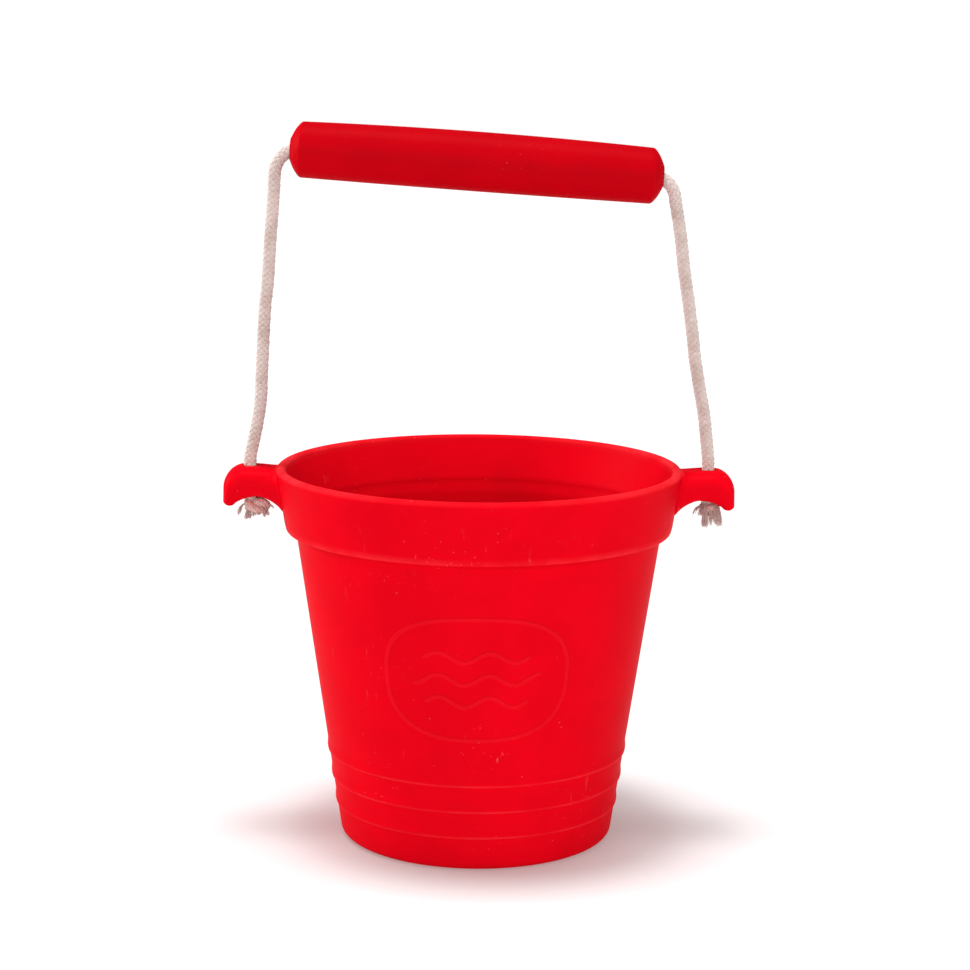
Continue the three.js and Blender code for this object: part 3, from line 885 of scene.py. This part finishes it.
# Each yarn, in mm from the knot's foot: the tip's lean along X and Y, the start's height, how far the
# tip droops, and how many fibres it has.
LEFT_YARNS = [
    (-3.2, -3.6, 2.2, 1.9, 80), (-2.2, -4.0, 1.8, 1.7, 70), (-0.8, -3.8, 1.2, 1.0, 50),
    (0.9, -3.8, 1.2, 0.6, 45), (2.9, -3.4, 2.0, 1.1, 70), (3.8, -2.6, 2.2, 0.8, 60),
    (2.6, 1.6, 1.0, 1.2, 40), (-2.6, 1.6, 1.0, 1.6, 50), (-6.0, -1.4, 3.0, 1.0, 30),
    (5.9, -1.8, 3.0, -1.2, 14),
]
RIGHT_YARNS = [
    (-2.2, -3.8, 4.2, 2.7, 60), (-1.3, -4.1, 4.2, 3.0, 60), (0.3, -4.0, 4.0, 2.3, 50),
    (1.9, -3.6, 4.2, 2.2, 50), (2.9, -3.0, 4.2, 2.8, 60), (3.7, -2.4, 4.2, 2.6, 60),
    (1.4, 1.8, 2.0, 2.0, 50), (-0.8, 2.0, 2.0, 2.2, 50), (-4.4, -2.6, 4.0, -2.2, 26),
    (-5.4, -1.8, 3.6, -0.8, 22), (-3.4, -3.0, 4.0, -0.6, 30),
]
left_fray = frayed_end("left_frayed_strands", -1, 11, LEFT_YARNS)
right_fray = frayed_end("right_frayed_strands", 1, 12, RIGHT_YARNS)
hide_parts("left_frayed_end")
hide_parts("right_frayed_end")
tell(left_fray)

# %% [markdown]
# ## Fuzz on the rope
# Cotton has short loose fibres that stand off its surface and soften its edge. They start on the rope at
# random places and lean over as they leave it. None grow inside the grip or an ear, where they would rub.

# %% Fuzz
FUZZ_COUNT = 1050
FUZZ_STEPS = 5
FUZZ_RADIUS = 0.028 * MM
FUZZ_CLEAR = 0.8 * MM
FUZZ_LONGEST = 0.8 * MM


def rope_fuzz():
    """A fibre starts on the rope at a random place and angle and runs out, along and round it:
    start + spoke out sin(2.2 t) + tangent run t + around sweep t^1.5, for t from 0 to 1."""
    draw = np.random.default_rng(21)
    tangent, side, normal = frames_along(rope_line, FRONT)
    past_grip = np.abs((rope_line - GRIP_CENTRE) @ GRIP_AXIS) > GRIP_LENGTH / 2 + FUZZ_CLEAR
    above_ear = rope_line[:, 2] > EAR_TOP + FUZZ_CLEAR
    place = draw.choice(np.flatnonzero(past_grip & above_ear), FUZZ_COUNT)
    angle = draw.uniform(0, 2 * np.pi, FUZZ_COUNT)[:, None]
    spoke = np.cos(angle) * side[place] + np.sin(angle) * normal[place]
    around = np.cross(tangent[place], spoke)
    t = np.linspace(0, 1, FUZZ_STEPS)[None, :, None]
    out = draw.gamma(2.0, 0.13 * MM, (FUZZ_COUNT, 1, 1)).clip(0, FUZZ_LONGEST)
    run = draw.normal(0, 0.6 * MM, (FUZZ_COUNT, 1, 1))
    sweep = draw.normal(0, 0.35 * MM, (FUZZ_COUNT, 1, 1))
    start = rope_line[place] + 0.86 * ROPE_RADIUS * spoke
    line = (start[:, None] + spoke[:, None] * out * np.sin(t * 2.2) + tangent[place][:, None] * run * t
            + around[:, None] * sweep * t ** 1.5)
    return fibres(line, FUZZ_RADIUS)


fuzz_points, fuzz_faces, fuzz_caps = rope_fuzz()
fuzz = mesh_object("rope_fuzz", fuzz_points, fuzz_faces, fuzz_caps)
float_attribute(fuzz, "strand", np.full(len(fuzz_points), 0.5))
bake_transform(fuzz)
tell(fuzz)

# %% [markdown]
# ## The rope's route as a list
# Every fourth point of the rope's route, and its last point, are gathered into one list of coordinates.

# %% Cord
rope_line[::4].tolist() + [rope_line[-1].tolist()]

# %% [markdown]
# ## Writing shaders as sums
# A material is a small tree of nodes, and it reads more easily as arithmetic. One class wraps an output
# socket and gives it +, -, * and /, each of which adds one Math node. Every other node is made by one
# method that takes the node's type, its settings and its inputs.


# %% Shader maths
class Signal:
    """A number that varies over the surface, as the output socket of a node."""

    def __init__(self, finish, socket):
        self.finish = finish
        self.socket = socket

    def maths(self, operation, first, second):
        return self.finish.node("ShaderNodeMath", {"operation": operation}, {0: first, 1: second})

    def __add__(self, other):
        return self.maths("ADD", self, other)

    def __radd__(self, other):
        return self.maths("ADD", other, self)

    def __sub__(self, other):
        return self.maths("SUBTRACT", self, other)

    def __rsub__(self, other):
        return self.maths("SUBTRACT", other, self)

    def __mul__(self, other):
        return self.maths("MULTIPLY", self, other)

    def __rmul__(self, other):
        return self.maths("MULTIPLY", other, self)

    def __truediv__(self, other):
        return self.maths("DIVIDE", self, other)


class Finish:
    """One material and the nodes in it."""

    def __init__(self, name):
        self.material = bpy.data.materials.new(name)
        self.material.use_nodes = True
        self.tree = self.material.node_tree
        self.surface = self.tree.nodes["Principled BSDF"]

    def node(self, kind, settings=None, inputs=None, output=0):
        """Adds a node, sets it up, then fills its inputs with numbers, colours or links."""
        node = self.tree.nodes.new(kind)
        for name, value in (settings or {}).items():
            setattr(node, name, value)
        for name, value in (inputs or {}).items():
            self.fill(node.inputs[name], value)
        return Signal(self, node.outputs[output])

    def fill(self, socket, value):
        if isinstance(value, Signal):
            self.tree.links.new(value.socket, socket)
        else:
            socket.default_value = value

    def place(self):
        """Object coordinates: metres in the object's own frame, which don't slide when it moves."""
        return self.node("ShaderNodeTexCoord", output="Object")

    def noise(self, scale, detail, roughness, place):
        return self.node("ShaderNodeTexNoise", None, {
            "Vector": place, "Scale": scale, "Detail": detail, "Roughness": roughness})

    def ramp(self, value, low, high):
        """0 below low, 1 above high and a smooth rise between."""
        return self.node("ShaderNodeMapRange", {"interpolation_type": "SMOOTHSTEP"}, {
            "Value": value, "From Min": low, "From Max": high, "To Min": 0.0, "To Max": 1.0})

    def mix(self, share, first, second):
        """Colour mix: first where share is 0 and second where it is 1."""
        return self.node("ShaderNodeMix", {"data_type": "RGBA"}, {0: share, 6: first, 7: second}, output=2)

    def bump(self, height, distance, strength):
        return self.node("ShaderNodeBump", None, {
            "Height": height, "Distance": distance, "Strength": strength})

    def set(self, **inputs):
        for name, value in inputs.items():
            self.fill(self.surface.inputs[name.replace("_", " ")], value)


# %% [markdown]
# ## Silicone
# Soft silicone has a matte skin and gives back a deep, even red. Its refractive index is set close to
# that of air, which leaves almost no mirror reflection. Up close it isn't clean: a faint mottling from
# the mould, a fine grain, dust that clings to it, a few hair-thin scuffs, and pale patches where the
# pail's pale-edge number is above 0, which are partly wear and partly painted highlight. Dust is a
# Voronoi pattern of rare small cells, and scuffs are a noise that is stretched along one direction and
# cut off close to its top.


# %% Silicone finish
# The pale red of the edges: partly wear, partly painted highlight.
WEAR_AND_HIGHLIGHT_RED = (0.88, 0.05, 0.06, 1.0)


def silicone(name, colour, dust_amount, scuff_amount):
    finish = Finish(name)
    place = finish.place()
    mottling = finish.noise(55.0, 3.0, 0.55, place)
    grain = finish.noise(2600.0, 2.0, 0.6, place)
    cloud = finish.ramp(finish.noise(38.0, 2.0, 0.5, place), 0.5, 0.72)
    specks = finish.node("ShaderNodeTexVoronoi", {"feature": "F1"}, {"Vector": place, "Scale": 420.0})
    speck = (1 - finish.ramp(specks, 0.07, 0.13)) * cloud * dust_amount
    flecks = finish.node("ShaderNodeTexVoronoi", {"feature": "F1"}, {"Vector": place, "Scale": 150.0})
    fleck = (1 - finish.ramp(flecks, 0.025, 0.05)) * dust_amount
    stretched = finish.node("ShaderNodeMapping", None, {
        "Vector": place, "Rotation": (0.3, 0.5, 0.2), "Scale": (1.0, 1.0, 0.12)})
    scuff_noise = finish.noise(480.0, 4.0, 0.6, stretched)
    scuff = finish.ramp(scuff_noise, 0.66, 0.72) * cloud * scuff_amount
    pale = tuple(min(1.0, channel * 0.5 + 0.42) for channel in colour[:3]) + (1.0,)
    deep = tuple(channel * 0.94 for channel in colour[:3]) + (1.0,)
    base = finish.mix(finish.ramp(mottling, 0.35, 0.65), deep, colour)
    wear_and_highlight = finish.node("ShaderNodeAttribute", {"attribute_name": "wear_and_highlight"}, output="Fac")
    patches = finish.ramp(finish.noise(70.0, 3.0, 0.6, place), 0.3, 0.65)
    # Pale edges from the per-point number: part wear, part painted highlight on the rim's ends, the ring
    # edges and the collar's foot.
    base = finish.mix(wear_and_highlight * (0.15 + 0.35 * patches), base, WEAR_AND_HIGHLIGHT_RED)
    base = finish.mix(speck + fleck + scuff, base, pale)
    finish.set(
        Base_Color=base,
        Roughness=0.42 + 0.1 * mottling,
        Normal=finish.bump(grain + 3.0 * mottling, 0.012 * MM, 0.6),
        IOR=1.05,
        Subsurface_Weight=0.12,
        Subsurface_Radius=(1.0, 0.12, 0.08),
        Subsurface_Scale=1.6 * MM,
    )
    return finish.material


def finish_with(piece, material):
    piece.data.materials.clear()
    piece.data.materials.append(material)


finish_with(pail, silicone("pail_silicone", (0.69, 0.0008, 0.008, 1.0), 0.1, 0.16))
finish_with(grip, silicone("grip_silicone", (0.47, 0.0008, 0.005, 1.0), 0.06, 0.06))
# The panel is a touch paler than the pail: a painted highlight along its ridges.
finish_with(panel, silicone("panel_silicone_painted_highlight", (0.71, 0.0035, 0.011, 1.0), 0.1, 0.1))
print("silicone on", pail.name, panel.name, grip.name)

# %% [markdown]
# ## Cotton
# Undyed cotton is a warm off-white that scatters light everywhere and shines nowhere. Each strand
# differs a little, which the strand number carries, and fine fibres break up every highlight. The
# knots and their frayed ends are given a darker, pinker colour: painted shade from the ear above them,
# and painted red light thrown back by the moulding.


# %% Cotton finish
def cotton(name, light, dark):
    finish = Finish(name)
    place = finish.place()
    strand = finish.node("ShaderNodeAttribute", {"attribute_name": "strand"}, output="Fac")
    dirt = finish.noise(120.0, 3.0, 0.6, place)
    lint = finish.noise(5200.0, 2.0, 0.6, place)
    base = finish.mix(0.55 * finish.ramp(dirt, 0.4, 0.7) + 0.3 * strand, light, dark)
    finish.set(
        Base_Color=base,
        Roughness=0.9 + 0.08 * lint,
        Normal=finish.bump(lint, 0.05 * MM, 0.6),
        Specular_IOR_Level=0.35,
        Subsurface_Weight=0.2,
        Subsurface_Radius=(1.0, 0.85, 0.7),
        Subsurface_Scale=0.8 * MM,
        Sheen_Weight=0.35,
        Sheen_Roughness=0.6,
    )
    return finish.material


rope_cotton = cotton("rope_cotton", (0.62, 0.50, 0.46, 1.0), (0.46, 0.34, 0.30, 1.0))
# Darker and pinker than the rope: painted shade under the ears and painted red light thrown back by the
# moulding.
shaded_knot_cotton = cotton("shaded_knot_cotton", (0.60, 0.39, 0.35, 1.0), (0.40, 0.23, 0.20, 1.0))
for piece in (rope, fuzz):
    finish_with(piece, rope_cotton)
for piece in (left_knot, right_knot, left_fray, right_fray):
    finish_with(piece, shaded_knot_cotton)
print("cotton on the rope and its ends")

# %% [markdown]
# ## Floor and light
# The pail stands on a plain white floor that runs off into white. Two wide overhead lights, one leaning
# a little each way, light the floor past white, so only their shadows fall below it: a soft darker
# patch at each side of the base. The floor glows faintly as well, which keeps those shadows pale.

# %% Floor
FLOOR_HALF = 4.0
corners = FLOOR_HALF * np.array([(-1, -1, 0), (1, -1, 0), (1, 1, 0), (-1, 1, 0)])
floor = mesh_object("floor", corners, np.array([(0, 1, 2, 3)]))
floor_finish = Finish("floor_paper")
floor_finish.set(
    Base_Color=(0.72, 0.72, 0.72, 1.0),
    Roughness=0.9,
    Specular_IOR_Level=0.0,
    Emission_Color=(1.0, 1.0, 1.0, 1.0),
    Emission_Strength=0.25,
)
finish_with(floor, floor_finish.material)


# %% [markdown]
# Three soft boxes light the pail and the rope: a wide one in front and a smaller one at each side, the
# left one stronger, so the rope turns darker towards its right. Light linking leaves the floor out of
# them, because a box that lit it would wash the shadows away. The world is white where the camera sees
# it and dim for everything else.

# %% Lights
all_but_floor = bpy.data.collections.new("all_but_floor")
all_but_floor.objects.link(floor)
all_but_floor.collection_objects[0].light_linking.link_state = "EXCLUDE"
LIGHT_TARGET = Vector((0, 0, 0.1))


def soft_light(name, place, size, power):
    """A square area light at a place, turned to face the pail."""
    light = bpy.data.lights.new(name, "AREA")
    light.size = size
    light.energy = power
    lamp = placed(name, light)
    lamp.location = place
    lamp.rotation_euler = (LIGHT_TARGET - Vector(place)).to_track_quat("-Z", "Y").to_euler()
    lamp.light_linking.receiver_collection = all_but_floor


def sky_light(name, direction, strength, spread):
    """A sun lamp as an even light that is spread degrees wide, shining along direction."""
    light = bpy.data.lights.new(name, "SUN")
    light.energy = strength
    light.angle = math.radians(spread)
    lamp = placed(name, light)
    lamp.rotation_euler = Vector(direction).to_track_quat("-Z", "Y").to_euler()


soft_light("left_box", (-0.95, 0.25, 0.5), 0.35, 7.0)
soft_light("right_box", (1.0, -0.45, 0.4), 0.6, 3.8)
soft_light("front_box", (-0.3, -1.5, 0.32), 1.0, 15.0)
sky_light("left_sky", (0.12, 0.02, -1.0), 1.85, 18)
sky_light("right_sky", (-0.06, 0.02, -1.0), 1.2, 18)

world = bpy.data.worlds.new("studio")
world.use_nodes = True
bpy.context.scene.world = world
nodes, links = world.node_tree.nodes, world.node_tree.links
path_kind = nodes.new("ShaderNodeLightPath")
seen, felt = nodes["Background"], nodes.new("ShaderNodeBackground")
choose = nodes.new("ShaderNodeMixShader")
links.new(path_kind.outputs["Is Camera Ray"], choose.inputs[0])
for socket, background, strength in ((1, felt, 0.24), (2, seen, 1.0)):
    background.inputs["Color"].default_value = (1, 1, 1, 1)
    background.inputs["Strength"].default_value = strength
    links.new(background.outputs[0], choose.inputs[socket])
links.new(choose.outputs[0], nodes["World Output"].inputs["Surface"])
